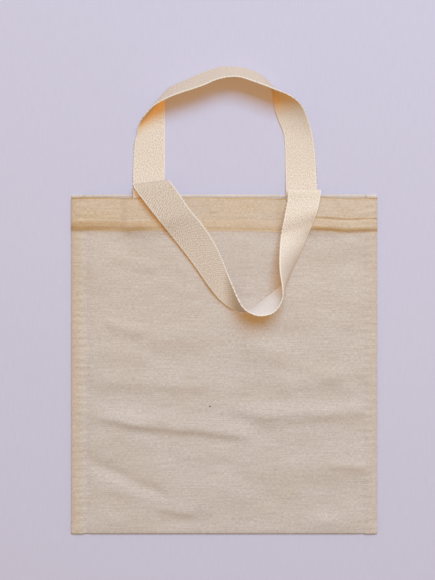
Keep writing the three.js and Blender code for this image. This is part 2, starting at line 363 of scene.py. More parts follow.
def hem_relief(x, y):
    """The hem: a step over its layers that is crisper towards both sides, a groove at the edge of
    the first turn, small puckers along the stitches, and the groove that they lie in."""
    into_hem = y - MOUTH + HEM_DEPTH + mouth_dip(x)
    crisp = 0.35 + 0.65 * ease((x - 60 * MM) / (25 * MM)) + 0.3 * ease((-x - 80 * MM) / (30 * MM))
    step = 1.3 * LAYER * (0.6 + crisp) * ease(into_hem / (3.4 * MM) + 0.7)
    first_edge = 0.25 + 0.75 * ease((x - 85 * MM) / (15 * MM))
    first_edge = 0.9 * MM * first_edge * bump(into_hem - FIRST_TURN - 0.4 * MM, 1.1 * MM)
    puckers = np.sin(x / (6.3 * MM) * 2 * math.pi + 2.5 * rumple(x, y, 20 * MM, 22))
    puckers = 0.14 * MM * puckers * bump(into_hem, 6 * MM)
    groove = 0.35 * MM * bump(into_hem - STITCH_IN, 1.2 * MM)
    return step - first_edge + puckers - groove


def back_face(x, y):
    """Height of the back panel's outer face: on the table, lifted a little here and there, and
    curling up behind the front at the mouth, beside the handles."""
    lift = 0.12 + 0.12 * rumple(x, y, 40 * MM, 31) + 0.05 * rumple(x, y, 12 * MM, 32)
    inside = ease((HALF_WIDTH - np.abs(x)) / (8 * MM)) * ease((y - BOTTOM) / (8 * MM))
    clear = within(x, -46 * MM, 50 * MM, 8 * MM) + within(x, 100 * MM, 132 * MM, 8 * MM)
    clear = clear + within(x, -132 * MM, -98 * MM, 8 * MM)
    curl = 2.8 * clear * ease((y - MOUTH + 4.4 * MM) / (1.8 * MM))
    return (lift * inside + curl) * MM


def spaced(start, end, step):
    """Even stations from start up to end, about a step apart, without the end itself."""
    return np.linspace(start, end, max(2, round((end - start) / step)) + 1)[:-1]


def along_cloth(place, depth):
    """The stations' distances along the flat cloth, with their places and depths."""
    steps = np.hypot(np.diff(place), np.diff(depth))
    return np.concatenate([[0], np.cumsum(steps)]), np.array(place), np.array(depth)


def side_path(spacing):
    """Stations across half a panel: along the cloth, as it lies, and how deep. From the middle out
    to the side seam, round its rolled edge, and back in as the seam allowance."""
    angle = np.linspace(0, math.pi, 7)
    roll_start = HALF_WIDTH - SEAM_ROLL
    flat_part = spaced(0, roll_start, spacing)
    rolled = roll_start + SEAM_ROLL * np.sin(angle)
    turned_in = [roll_start - step for step in (3 * MM, 6.5 * MM, ALLOWANCE - SEAM_ROLL)]
    place = [*flat_part, *rolled, *turned_in]
    depth = [*(0 * flat_part), *(SEAM_ROLL * (1 - np.cos(angle)))]
    depth += [2 * SEAM_ROLL] * len(turned_in)
    return along_cloth(place, depth)


def both_halves(along, place, depth):
    """The stations of a whole panel from those of its right half: the left half mirrors it."""
    return (np.concatenate([-along[:0:-1], along]), np.concatenate([-place[:0:-1], place]),
            np.concatenate([depth[:0:-1], depth]))


def height_path(spacing, hem_spacing, inner_spacing):
    """Stations up a panel: round a quarter of the bottom fold, up to the mouth edge and over it,
    down the hem's inner face, and back up between its layers as the first turn. They are closer
    together in and just below the hem."""
    quarter = np.linspace(0, math.pi / 2, 6)[:-1]
    angle = np.linspace(0, math.pi, 7)
    top = MOUTH - BOTTOM
    hem_edge = top - HEM_DEPTH
    closer_from = hem_edge - 9 * MM
    place = [*(FOLD_RADIUS * (1 - np.cos(quarter))), *spaced(FOLD_RADIUS, closer_from, spacing)]
    place += [*spaced(closer_from, top - LAYER, hem_spacing)]
    depth = [*(FOLD_RADIUS * (1 - np.sin(quarter)))]
    depth += [0] * (len(place) - len(depth))
    place += [*(top - LAYER + LAYER * np.sin(angle))]
    depth += [*(LAYER * (1 - np.cos(angle)))]
    inner = [*spaced(top - LAYER - 2 * MM, hem_edge, inner_spacing), hem_edge]
    place += inner
    depth += [2 * LAYER] * len(inner)
    turn = [*spaced(hem_edge, hem_edge + FIRST_TURN, inner_spacing)]
    place += turn
    depth += [1.5 * LAYER] + [LAYER] * (len(turn) - 1)
    return along_cloth(place, depth)


def cloth_panel(name, face, upwards):
    """One panel of the bag as a grid over the flat cloth: across it and from the bottom fold to
    the raw edge. Past the side seams the cloth turns in as seam allowance, and past the mouth it
    turns in twice as the hem. Each point sits at its panel face's height, less its own depth."""
    across, place_x, depth_x = both_halves(*side_path(1.9 * MM))
    along, place_y, depth_y = height_path(1.8 * MM, 0.65 * MM, 2.5 * MM)
    x, y = np.meshgrid(place_x, BOTTOM + place_y)
    if upwards:
        near_mouth = ease((y - MOUTH + 70 * MM) / (50 * MM))
        y = y - mouth_dip(x) * near_mouth
    # The turned-in layers are drawn in a little, so that they stay inside the folded edges.
    inner_x = np.minimum(depth_x / (2 * SEAM_ROLL), 1)[None, :]
    past_mouth = np.arange(len(depth_y)) > np.argmax(place_y)
    inner_y = np.minimum(depth_y / (2 * LAYER), 1)[:, None] * past_mouth[:, None]
    x = x * (1 - inner_y * LAYER_INSET / HALF_WIDTH)
    y = y * (1 - inner_x * LAYER_INSET / HALF_LENGTH)
    # At the back's mouth edge the seam allowance is pressed to about half its depth.
    pressed = 1 - 0.45 * ease((y - MOUTH + 9 * MM) / (4 * MM)) * (not upwards)
    depth = depth_y[:, None] + depth_x[None, :] * pressed
    quads = grid_corners(*x.shape)
    if upwards:
        z = face(x, y) - depth
    else:
        z = face(x, y) + depth
        quads = quads[:, ::-1]
    points = np.stack([x, y, z], -1).reshape(-1, 3)
    flat = np.stack(np.meshgrid(across, along), -1).reshape(-1, 2)
    piece = mesh_piece(name, points, quads.ravel(), np.full(len(quads), 4), flat)
    into_hem = y - (MOUTH - HEM_DEPTH - mouth_dip(x) * upwards)
    # The layers value also carries painted shade and a painted highlight.
    mark(piece, "layers", cloth_warmth(x, y, into_hem, upwards).ravel())
    thickness = piece.modifiers.new("cloth thickness", "SOLIDIFY")
    thickness.thickness = CLOTH
    thickness.offset = -1
    return piece


def cloth_warmth(x, y, into_hem, front):
    """How warm and dark the cloth looks: 0 for a single layer and about 0.7 for the hem's three.
    It is uneven along the hem and more where the first turn and the seam allowances add layers.
    Painted shade adds more along the hem's sewn lower edge, the first turn's edge and the front's
    folded mouth edge. On the back's mouth edge a painted highlight takes it below zero: paler than
    a single layer."""
    left = ease((-x - 55 * MM) / (30 * MM))
    right = ease((x - 75 * MM) / (15 * MM))
    hem_band = ease(into_hem / (2.5 * MM) + 0.7)
    seam_band = ease((np.abs(x) - (HALF_WIDTH - ALLOWANCE)) / (1.5 * MM)) * (1 - hem_band)
    first_turn = hem_band * ease((FIRST_TURN - into_hem) / (2 * MM))
    uneven = 0.1 * rumple(x, y * 3, 34 * MM, 51) + 0.08 * rumple(x, y * 4, 13 * MM, 52)
    warmth = (0.62 + uneven + 0.14 * left - 0.08 * right) * hem_band + 0.16 * first_turn
    warmth = warmth + seam_band * (0.26 - 0.12 * np.sign(x))
    warmth = warmth + 0.14 * (1 - hem_band) * ease((y - MOUTH + 240 * MM) / (180 * MM))
    # Painted shade in the groove along the hem's lower edge.
    hem_edge_shade = bump(into_hem - 0.2 * MM, 2.6 * MM) * (0.2 + 0.6 * right)
    hem_edge_shade = hem_edge_shade + bump(into_hem - 2.4 * MM, 4 * MM) * 0.36 * left
    # Painted shade along the edge of the hem's first turn.
    first_edge = bump(into_hem - FIRST_TURN - 1.6 * MM, 1.4 * MM) * 0.5 * right
    from_edge = HEM_DEPTH - into_hem
    if front:
        # Painted shade in the crevice under the front's mouth edge.
        edge = bump(from_edge, 1.3 * MM) * (0.75 + 0.4 * rumple(x, 0 * x, 22 * MM, 53))
    else:
        # A painted highlight on the back's mouth edge, where it catches the light.
        edge = -1.15 * bump(from_edge, 2.4 * MM)
    return warmth + hem_edge_shade + first_edge + edge


# ---------------------------------------------------------------- the handles' shape


def smooth_curve(points, count):
    """A curve through the points: Catmull-Rom arcs, with as many stations between each two."""
    points = np.asarray(points, float)
    before = [2 * points[0] - points[1]]
    after = [2 * points[-1] - points[-2]]
    padded = np.concatenate([before, points, after])
    t = np.linspace(0, len(points) - 1, count)
    first = np.minimum(t.astype(int), len(points) - 2)
    t = (t - first)[:, None]
    a, b, c, d = (padded[first + step] for step in range(4))
    return 0.5 * (2 * b + (c - a) * t + (2 * a - 5 * b + 4 * c - d) * t * t
                  + (3 * b - a - 3 * c + d) * t ** 3)


def soften(curve, reach):
    """Each point moved to the bell-weighted mean of its neighbours. Both ends stay put."""
    steps = np.arange(-2 * reach, 2 * reach + 1)
    weights = np.exp(-((steps / reach) ** 2))
    weights = weights / weights.sum()
    before = 2 * curve[0] - curve[1:2 * reach + 1][::-1]
    after = 2 * curve[-1] - curve[-2 * reach - 1:-1][::-1]
    padded = np.concatenate([before, curve, after])
    return np.stack([np.convolve(padded[:, axis], weights, "valid") for axis in range(3)], -1)


def tape_edges(route, rests_on, end_z):
    """Both edge curves of a handle in metres, its sewn ends included, with stations spaced evenly
    along the tape's middle, and how far along each station is. rests_on gives the height of what
    the handle lies on. The sewn ends and the route's own ends lie at the height end_z instead."""
    rows = np.array(route) * MM
    rows[:, :, 1] += MOUTH
    sewn = [np.array([0, -share * SEWN_LENGTH, 0]) for share in (1, 0.6, 0.25)]
    head = [rows[0] + step for step in sewn]
    foot = [rows[-1] + step for step in sewn[::-1]]
    rows = np.concatenate([head, rows, foot])
    ends = [0, 1, 2, 3, -4, -3, -2, -1]
    rows[ends, :, 2] = end_z - rests_on(rows[ends, :, 0], rows[ends, :, 1])
    dense = [smooth_curve(rows[:, side], 2400) for side in (0, 1)]
    for edge in dense:
        edge[:, 2] += rests_on(edge[:, 0], np.minimum(edge[:, 1], MOUTH))
    dense = [soften(edge, 14) for edge in dense]
    centre = (dense[0] + dense[1]) / 2
    length = np.concatenate([[0], np.cumsum(np.linalg.norm(np.diff(centre, axis=0), axis=1))])
    even = np.linspace(0, length[-1], int(length[-1] / (1.1 * MM)))
    low, high = (np.stack([np.interp(even, length, edge[:, axis]) for axis in range(3)], -1)
                 for edge in dense)
    return low, high, even


def tape_frames(low, high):
    """At each station: the direction across the tape, the run, and the way its face points."""
    across = high - low
    across = across / np.linalg.norm(across, axis=1, keepdims=True)
    run = np.gradient((low + high) / 2, axis=0)
    run = run / np.linalg.norm(run, axis=1, keepdims=True)
    face = np.cross(run, across)
    face = face / np.linalg.norm(face, axis=1, keepdims=True)
    return across, run, face


def tape(name, low, high, even):
    """Herringbone tape carried along its two edges. Its section is a flat loop with rounded
    sides: the place across the tape follows a low power of an angle's cosine, and the height off
    its middle a lower power of the sine. The woven edges are a little thicker."""
    across, _, face = tape_frames(low, high)
    ring = 40
    angle = np.arange(ring) / ring * 2 * math.pi
    cosine = np.cos(angle)
    sine = np.sin(angle)
    place = 0.5 + 0.5 * np.sign(cosine) * np.abs(cosine) ** 0.55
    height = TAPE / 2 * np.sign(sine) * np.abs(sine) ** 0.35
    selvedge = 0.12 * MM * (bump(place - 0.03, 0.03) + bump(place - 0.97, 0.03)) * np.sign(sine)
    height = height + selvedge
    points = (low[:, None] + (high - low)[:, None] * place[None, :, None]
              + face[:, None] * height[None, :, None])
    wander = 0.25 * MM * rumple(even, 0 * even, 26 * MM, 41)
    points = points + across[:, None] * wander[:, None, None]
    count = len(low)
    quads = grid_corners(count, ring, wrap=True)
    corners = np.concatenate([quads.ravel(), np.arange(ring), (count - 1) * ring + np.arange(ring)])
    sizes = np.concatenate([np.full(len(quads), 4), [ring, ring]])
    flat = np.stack(np.broadcast_arrays(place[None, :] * TAPE_WIDTH, even[:, None]), -1)
    piece = mesh_piece(name, points.reshape(-1, 3), corners, sizes, flat.reshape(-1, 2))
    turn_outwards(piece)
    return piece, np.repeat(even, ring), np.tile(sine > 0, count)


def small_copies(name, points, corners, sizes, places, axes):
    """One mesh of a small shape set at many places, each turned to its own three axes."""
    moved = places[:, None] + np.einsum("vi,kij->kvj", points, axes)
    step = np.arange(len(places))[:, None] * len(points)
    all_corners = (np.asarray(corners)[None] + step).ravel()
    piece = mesh_piece(name, moved.reshape(-1, 3), all_corners, np.tile(sizes, len(places)))
    turn_outwards(piece)
    return piece


def picot_edge(name, low, high, even):
    """Small yarn loops along the tape's standing edge: an oval ring each, its middle just inside
    the edge. A ring is a circle of yarn carried round a circle, drawn in along the tape."""
    around = 10
    ring = 5
    turn, twist = np.meshgrid(np.arange(around) / around * 2 * math.pi,
                              np.arange(ring) / ring * 2 * math.pi, indexing="ij")
    out = PICOT_REACH + PICOT_YARN * np.cos(twist)
    loop = np.stack([np.cos(turn) * out * 0.7, np.sin(turn) * out, PICOT_YARN * np.sin(twist)], -1)
    quads = grid_corners(around, ring, wrap=True)
    last = np.arange(ring)
    closing = np.stack([(around - 1) * ring + last, (around - 1) * ring + (last + 1) % ring,
                        (last + 1) % ring, last], -1)
    quads = np.concatenate([quads, closing])
    across, run, face = tape_frames(low, high)
    picks = np.searchsorted(even, np.arange(PICOT_PITCH, even[-1] - PICOT_PITCH, PICOT_PITCH))
    axes = np.stack([run[picks], across[picks], face[picks]], 1)
    places = high[picks] - across[picks] * PICOT_REACH / 2
    points = loop.reshape(-1, 3)
    piece = small_copies(name, points, quads.ravel(), np.full(len(quads), 4), places, axes)
    return piece, np.repeat(even[picks], around * ring)


# ---------------------------------------------------------------- stitches


def bead(length, radius):
    """A stitch: a short rounded bead from three six-sided rings and two ends."""
    angle = np.arange(6) / 6 * 2 * math.pi
    rings = [np.stack([np.full(6, place * length), np.cos(angle) * radius * swell,
                       np.sin(angle) * radius * swell], -1)
             for place, swell in ((-0.36, 0.8), (0, 1), (0.36, 0.8))]
    points = np.concatenate([*rings, [[-length / 2, 0, 0], [length / 2, 0, 0]]])
    quads = grid_corners(3, 6, wrap=True)
    here = np.arange(6)
    beside = (here + 1) % 6
    start_cap = np.stack([np.full(6, 18), beside, here], -1)
    end_cap = np.stack([np.full(6, 19), 12 + here, 12 + beside], -1)
    corners = np.concatenate([quads.ravel(), start_cap.ravel(), end_cap.ravel()])
    sizes = np.concatenate([np.full(len(quads), 4), np.full(12, 3)])
    return points, corners, sizes


def stitches(name, lines):
    """Rows of stitches, a bead at every pitch along each line. A line is its stations' places and
    one direction the cloth faces."""
    places = []
    axes = []
    for path, face in lines:
        path = np.asarray(path, float)
        steps = np.linalg.norm(np.diff(path, axis=0), axis=1)
        length = np.concatenate([[0], np.cumsum(steps)])
        centres = np.arange(STITCH_PITCH / 2, length[-1], STITCH_PITCH)
        ends = [np.stack([np.interp(centres + reach, length, path[:, axis]) for axis in range(3)], -1)
                for reach in (-STITCH_LENGTH / 2, STITCH_LENGTH / 2)]
        run = ends[1] - ends[0]
        run = run / np.linalg.norm(run, axis=1, keepdims=True)
        up = np.broadcast_to(np.asarray(face, float), run.shape)
        side = np.cross(up, run)
        side = side / np.linalg.norm(side, axis=1, keepdims=True)
        places.append((ends[0] + ends[1]) / 2)
        axes.append(np.stack([run, side, np.cross(run, side)], 1))
    points, corners, sizes = bead(STITCH_LENGTH, THREAD_RADIUS)
    return small_copies(name, points, corners, sizes, np.concatenate(places), np.concatenate(axes))


def box_and_cross(node, z, face):
    """The stations of a square of stitches with both diagonals, over a handle's sewn end."""
    low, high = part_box(node)
    corners = np.array([[low[0], low[1], z], [high[0], low[1], z],
                        [high[0], high[1], z], [low[0], high[1], z]])
    pairs = [(0, 1), (1, 2), (2, 3), (3, 0), (0, 2), (1, 3)]
    return [(corners[list(pair)], face) for pair in pairs]


# ---------------------------------------------------------------- materials


def colour(hexes):
    """Linear colour from an sRGB hex value."""
    values = [int(hexes[i:i + 2], 16) / 255 for i in (0, 2, 4)]
    return (*[v / 12.92 if v <= 0.04045 else ((v + 0.055) / 1.055) ** 2.4 for v in values], 1)


def add(material, kind, settings=(), **sockets):
    """Adds a node, sets its properties, and fills its inputs with values or links. A name like _6
    is an input's number, and a node given as a value stands for its first output in use."""
    node = material.node_tree.nodes.new(kind)
    for name, value in dict(settings).items():
        setattr(node, name, value)
    for name, value in sockets.items():
        key = int(name[1:]) if name[0] == "_" else name.replace("_", " ")
        if isinstance(value, bpy.types.Node):
            value = next(socket for socket in value.outputs if socket.enabled)
        if isinstance(value, bpy.types.NodeSocket):
            material.node_tree.links.new(value, node.inputs[key])
        else:
            node.inputs[key].default_value = value
    return node


def new_material(name):
    """An empty node material."""
    material = bpy.data.materials.new(name)
    material.use_nodes = True
    material.node_tree.nodes.clear()
    return material


def threads(material, spacing_across, spacing_along, seed):
    """Uneven yarn: noise drawn out along one thread direction, from the flat cloth's own map."""
    weave = add(material, "ShaderNodeUVMap", {"uv_map": "Weave"})
    mapped = add(material, "ShaderNodeMapping", Vector=weave, Location=(seed, seed * 1.7, 0),
                 Scale=(1 / spacing_across, 1 / spacing_along, 1))
    return add(material, "ShaderNodeTexNoise", {"noise_dimensions": "2D"},
               Vector=mapped, Scale=1.0, Detail=2.0, Roughness=0.6)


BLEND = {"data_type": "RGBA"}
TIMES = {"operation": "MULTIPLY"}
TIMES_PLUS = {"operation": "MULTIPLY_ADD"}
FOLD_BACK = {"operation": "PINGPONG"}
SINE = {"operation": "SINE"}


def muslin_material():
    """Unbleached muslin: plain-woven from uneven carded cotton, never dyed, so it is a warm grey
    cream with darker and lighter yarns both ways and no gloss. More layers make it warmer. Painted
    shade turns it deep tan in the grooves along the hem and under the front's mouth edge, and a
    painted highlight makes the back's mouth edge paler. Real yarns are 0.5 mm apart. They are drawn
    0.9 mm apart here, because finer ones would not show."""
    material = new_material("unbleached_muslin")
    weft = threads(material, 3.6 * MM, 0.9 * MM, 3.1)
    warp = threads(material, 0.9 * MM, 3.2 * MM, 7.4)
    slub = threads(material, 26 * MM, 1.1 * MM, 4.7)
    yarns = add(material, "ShaderNodeMath", TIMES, _0=slub, _1=0.28)
    yarns = add(material, "ShaderNodeMath", TIMES_PLUS, _0=warp, _1=0.32, _2=yarns)
    yarns = add(material, "ShaderNodeMath", TIMES_PLUS, _0=weft, _1=0.4, _2=yarns)
    light = add(material, "ShaderNodeMapRange", Value=yarns, From_Min=0.36, From_Max=0.64)
    single = add(material, "ShaderNodeMix", BLEND, Factor=light, _6=colour("BAAAA0"),
                 _7=colour("D2C7BF"))
    double = add(material, "ShaderNodeMix", BLEND, Factor=light, _6=colour("C0A27F"),
                 _7=colour("DBC1A1"))
    # The layers attribute holds the extra layers' warmth, and also painted shade and a painted
    # highlight.
    layers = add(material, "ShaderNodeAttribute", {"attribute_name": "layers"})
    cloth = add(material, "ShaderNodeMix", BLEND, Factor=layers.outputs["Fac"], _6=single, _7=double)
    # Past 0.85 the cloth turns deep tan, mostly as painted shade in the hem's grooves and under the
    # front's mouth edge.
    crowding_and_shade = add(material, "ShaderNodeMapRange", Value=layers.outputs["Fac"], From_Min=0.85,
                  From_Max=1.6)
    cloth = add(material, "ShaderNodeMix", BLEND, Factor=crowding_and_shade, _6=cloth, _7=colour("A67C4A"))
    # Below zero it turns paler: the painted highlight on the back's mouth edge.
    pale = add(material, "ShaderNodeMapRange", Value=layers.outputs["Fac"], From_Min=0.0,
               From_Max=-0.8)
    cloth = add(material, "ShaderNodeMix", BLEND, Factor=pale, _6=cloth, _7=colour("EAD9C8"))
    cloud = threads(material, 50 * MM, 26 * MM, 1.3)
    soiled = add(material, "ShaderNodeMapRange", Value=cloud, From_Min=0.35, From_Max=0.68,
                 To_Max=0.2)
    cloth = add(material, "ShaderNodeMix", BLEND, Factor=soiled, _6=cloth, _7=colour("C0AC98"))
    relief = add(material, "ShaderNodeBump", Height=yarns, Strength=0.5, Distance=0.25 * MM)
    shader = add(material, "ShaderNodeBsdfPrincipled", Base_Color=cloth, Normal=relief,
                 Roughness=0.92, Sheen_Weight=0.1, Sheen_Roughness=0.5, Specular_IOR_Level=0.2)
    add(material, "ShaderNodeOutputMaterial", Surface=shader)
    return material


def herringbone_material():
    """Herringbone cotton tape: twill woven so that its ribs lean one way and then the other in
    two columns along the tape. It is thick, matt and paler than the bag, and its lighter side
    edges are woven tighter. The ribs are drawn 2.2 mm apart, about twice the real ones, because
    finer ones would not show. Painted shade makes it greyer along parts of the tape, and a painted
    highlight makes it nearly white in others. A painted glow makes it golden where it stands up on
    the window's side, for the light that comes through it warm and dim. Its shadow rays pass
    through it tinted, so the edges of its shadow are golden too."""
    material = new_material("herringbone_cotton_tape")
    weave = add(material, "ShaderNodeUVMap", {"uv_map": "Weave"})
    parts = add(material, "ShaderNodeSeparateXYZ", Vector=weave)
    column = add(material, "ShaderNodeMath", FOLD_BACK, _0=parts.outputs[0], _1=TAPE_WIDTH / 2)
    slanted = add(material, "ShaderNodeMath", _0=parts.outputs[1], _1=column)
    slanted = add(material, "ShaderNodeMath", TIMES, _0=slanted, _1=2 * math.pi / RIB_PITCH)
    ribs = add(material, "ShaderNodeMath", SINE, _0=slanted)
    crossing = add(material, "ShaderNodeMath", TIMES_PLUS, _0=column, _1=-2.6, _2=parts.outputs[1])
    crossing = add(material, "ShaderNodeMath", TIMES, _0=crossing, _1=4.2 / RIB_PITCH)
    dots = add(material, "ShaderNodeMath", SINE, _0=crossing)
    yarn = threads(material, 1.1 * MM, 1.3 * MM, 5.2)
    pattern = add(material, "ShaderNodeMath", TIMES_PLUS, _0=ribs, _1=0.11, _2=yarn)
    pattern = add(material, "ShaderNodeMath", TIMES_PLUS, _0=dots, _1=0.1, _2=pattern)
    light = add(material, "ShaderNodeMapRange", Value=pattern, From_Min=0.26, From_Max=0.74)
    # The first colour is the tape's own; the second is the same tape darkened as painted shade.
    unshaded = add(material, "ShaderNodeMix", BLEND, Factor=light, _6=colour("CBB59F"),
                _7=colour("F5E7D8"))
    painted_shade_colour = add(material, "ShaderNodeMix", BLEND, Factor=light, _6=colour("B29C88"),
               _7=colour("E1D0C1"))
    # This attribute holds painted shade, which darkens the tape, and below zero a painted highlight,
    # which whitens it.
    painted_shading = add(material, "ShaderNodeAttribute", {"attribute_name": "painted_shading"})
    cotton = add(material, "ShaderNodeMix", BLEND, Factor=painted_shading.outputs["Fac"], _6=unshaded, _7=painted_shade_colour)
    white = add(material, "ShaderNodeMapRange", Value=painted_shading.outputs["Fac"], From_Min=0.0,
                From_Max=-1.0)
    cotton = add(material, "ShaderNodeMix", BLEND, Factor=white, _6=cotton, _7=colour("E4DCDB"))
    selvedge = add(material, "ShaderNodeMapRange", Value=column, From_Min=1.3 * MM,
                   From_Max=0.6 * MM, To_Max=0.55)
    cotton = add(material, "ShaderNodeMix", BLEND, Factor=selvedge, _6=cotton, _7=colour("F4EBDF"))
    # A painted glow: golden where light shines through the standing tape.
    glow = add(material, "ShaderNodeAttribute", {"attribute_name": "lit_through"})
    cotton = add(material, "ShaderNodeMix", BLEND, Factor=glow.outputs["Fac"], _6=cotton,
                 _7=colour("FAC67A"))
    relief = add(material, "ShaderNodeBump", Height=pattern, Strength=0.7, Distance=0.4 * MM)
    shader = add(material, "ShaderNodeBsdfPrincipled", Base_Color=cotton, Normal=relief,
                 Roughness=0.9, Sheen_Weight=0.1, Sheen_Roughness=0.5, Specular_IOR_Level=0.2)
    through = add(material, "ShaderNodeBsdfTransparent", Color=colour("E1BE82"))
    rays = add(material, "ShaderNodeLightPath")
    both = add(material, "ShaderNodeMixShader", _0=rays.outputs["Is Shadow Ray"], _1=shader,
               _2=through)
    add(material, "ShaderNodeOutputMaterial", Surface=both)
    return material


def thread_material():
    """Soft-spun cotton thread: undyed, two plies, matt with a faint fuzz."""
    material = new_material("undyed_cotton_thread")
    place = add(material, "ShaderNodeTexCoord")
    fibre = add(material, "ShaderNodeTexNoise", Vector=place.outputs["Object"],
                Scale=1 / (0.8 * MM), Detail=1.0)
    shade = add(material, "ShaderNodeMix", BLEND, Factor=fibre, _6=colour("BC9F78"),
                _7=colour("CFB48D"))
    shader = add(material, "ShaderNodeBsdfPrincipled", Base_Color=shade, Roughness=0.85,
                 Sheen_Weight=0.2, Specular_IOR_Level=0.25)
    add(material, "ShaderNodeOutputMaterial", Surface=shader)
    return material


def picot_material():
    """Picot yarn: two bleached cotton plies, loosely twisted, so it is nearly white with a fuzz."""
    material = new_material("bleached_picot_yarn")
    place = add(material, "ShaderNodeTexCoord")
    fibre = add(material, "ShaderNodeTexNoise", Vector=place.outputs["Object"],
                Scale=1 / (1.2 * MM), Detail=1.0)
    shade = add(material, "ShaderNodeMix", BLEND, Factor=fibre, _6=colour("D2C1AC"),
                _7=colour("F2E7DA"))
    shader = add(material, "ShaderNodeBsdfPrincipled", Base_Color=shade, Roughness=0.9,
                 Sheen_Weight=0.2, Specular_IOR_Level=0.2)
    add(material, "ShaderNodeOutputMaterial", Surface=shader)
    return material


def seed_fleck_material():
    """Cotton seed hull: a scrap of brown husk left in the yarn, dull and darker at its middle."""
    material = new_material("cotton_seed_fleck")
    place = add(material, "ShaderNodeTexCoord")
    husk = add(material, "ShaderNodeTexNoise", Vector=place.outputs["Object"], Scale=1 / (0.6 * MM))
    shade = add(material, "ShaderNodeMix", BLEND, Factor=husk, _6=colour("5E4630"),
                _7=colour("96795A"))
    shader = add(material, "ShaderNodeBsdfPrincipled", Base_Color=shade, Roughness=0.9)
    add(material, "ShaderNodeOutputMaterial", Surface=shader)
    return material


def table_material():
    """The table's plain cotton cover: pale lilac grey, matt, with faint woven streaks."""
    material = new_material("pale_table_cover")
    place = add(material, "ShaderNodeTexCoord")
    streaks = add(material, "ShaderNodeMapping", Vector=place.outputs["Object"],
                  Scale=(1 / (1.5 * MM), 1 / (14 * MM), 1))
    woven = add(material, "ShaderNodeTexNoise", Vector=streaks, Scale=1.0, Detail=2.0)
    shade = add(material, "ShaderNodeMix", BLEND, Factor=woven, _6=colour("C4BECE"),
                _7=colour("CBC5D5"))
    shader = add(material, "ShaderNodeBsdfPrincipled", Base_Color=shade, Roughness=0.95,
                 Specular_IOR_Level=0.1)
    add(material, "ShaderNodeOutputMaterial", Surface=shader)
    return material


# ---------------------------------------------------------------- the bag


def build_back_cloth(muslin):
    """The back panel, with its half of the bottom fold, its seam allowances and its hem."""
    back = cloth_panel("back_cloth", back_face, upwards=False)
    back.data.materials.append(muslin)
    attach(back, "back")
    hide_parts("back_panel", "back_hem", "bottom_fold", "left_seam_allowance",
                "right_seam_allowance")
    return back


def lift_with_front(piece):
    """Reads the piece's vertices, which nothing uses, and bakes its transform into its mesh."""
    places = vertices_of(piece)
    follow(piece)


def build_front_cloth(muslin):
    """The front panel, with its half of the bottom fold, its seam allowances and its hem."""
    front = cloth_panel("front_cloth", front_face, upwards=True)
    front.data.materials.append(muslin)
    lift_with_front(front)
    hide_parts("front_panel", "front_hem")
    return front


def hem_stations():
    """Stations across the bag from one side seam to the other."""
    return np.linspace(-HALF_WIDTH + 2 * MM, HALF_WIDTH - 2 * MM, 400)


def build_front_hem_stitches(thread):
    """The row that holds the front hem, sunk a little into the outer face."""
    x = hem_stations()
    y = MOUTH - HEM_DEPTH - mouth_dip(x) + STITCH_IN
    row = np.stack([x, y, front_face(x, y) - 0.06 * MM], -1)
    front_row = stitches("front_hem_stitches", [(row, (0, 0, 1))])
    front_row.data.materials.append(thread)
    lift_with_front(front_row)
    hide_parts("front_hem_stitch")
    return front_row


def build_back_hem_stitches(thread):
    """The row that holds the back hem, on the inner face, which is three layers up."""
    x = hem_stations()
    y = np.full_like(x, MOUTH - HEM_DEPTH + STITCH_IN)
    inner = back_face(x, y) + 2 * LAYER + CLOTH + 0.1 * MM
    back_row = stitches("back_hem_stitches", [(np.stack([x, y, inner], -1), (0, 0, 1))])
    back_row.data.materials.append(thread)
    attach(back_row, "back")
    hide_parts("back_hem_stitch")
    return back_row


def build_seam_stitches(side, sign, thread):
    """The row down one side seam, between the two panels."""
    y = np.linspace(BOTTOM + 3 * MM, MOUTH - 6 * MM, 300)
    x = np.full_like(y, sign * (HALF_WIDTH - 0.35 * MM))
    seam = np.stack([x, y, np.full_like(y, FOLD_RADIUS - 0.15 * MM)], -1)
    row = stitches(f"{side}_seam_stitches", [(seam, (sign, 0, 0))])
    row.data.materials.append(thread)
    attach(row, "back")
    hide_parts(f"{side}_seam_stitch")


def build_cloth(muslin, thread):
    """Both panels and the rows of stitches that hold them."""
    back = build_back_cloth(muslin)
    front = build_front_cloth(muslin)
    front_row = build_front_hem_stitches(thread)
    back_row = build_back_hem_stitches(thread)
    for side, sign in (("left", -1), ("right", 1)):
        build_seam_stitches(side, sign, thread)


def lit_through(along):
    """A painted glow on the rear tape's upper face: golden where its two shoulders turn to stand up and
    light shines through them.
    """
    return 0.75 * bump(along - 111 * MM, 10 * MM) + bump(along - 254 * MM, 13 * MM)


def rear_painted_shading(along):
    """Painted shade on the rear tape's two faces: hardly any on its upper face and a lot on its under
    one.
    """
    return 0.1 + 0 * along, 0.7 + 0 * along


def front_painted_shading(along):
    """Painted shade on the front tape's two faces. The outer one has less of it from the lowest bend
    to the right end, where that face turns to the light and light shines through it. Below zero is
    a painted highlight, whiter than the rest, as on the inner face."""
    unshaded = 0.9 * ease((along - 200 * MM) / (60 * MM)) + 0.95 * bump(along - 182 * MM, 20 * MM)
    # A painted highlight on the outer face across the loop's bottom, where it turns up to the light.
    whiter = 0.22 * within(along, 225 * MM, 290 * MM, 20 * MM)
    return 0.95 - np.minimum(unshaded, 0.95) - whiter, -0.68 + 0 * along


def build_box_stitches(which, side, body, end_z, thread):
    """The box and cross that holds one sewn end, on the rear tape's upper face or the front
    tape's under one."""
    up = 1 if which == "rear" else -1
    node = f"{which}_handle_{side}_stitch"
    z = end_z + up * (TAPE / 2 + 0.1 * MM)
    box = stitches(f"{which}_{side}_box_stitches", box_and_cross(node, z, (0, 0, up)))
    box.data.materials.append(thread)
    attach(box, body)
    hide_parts(node)
    return box


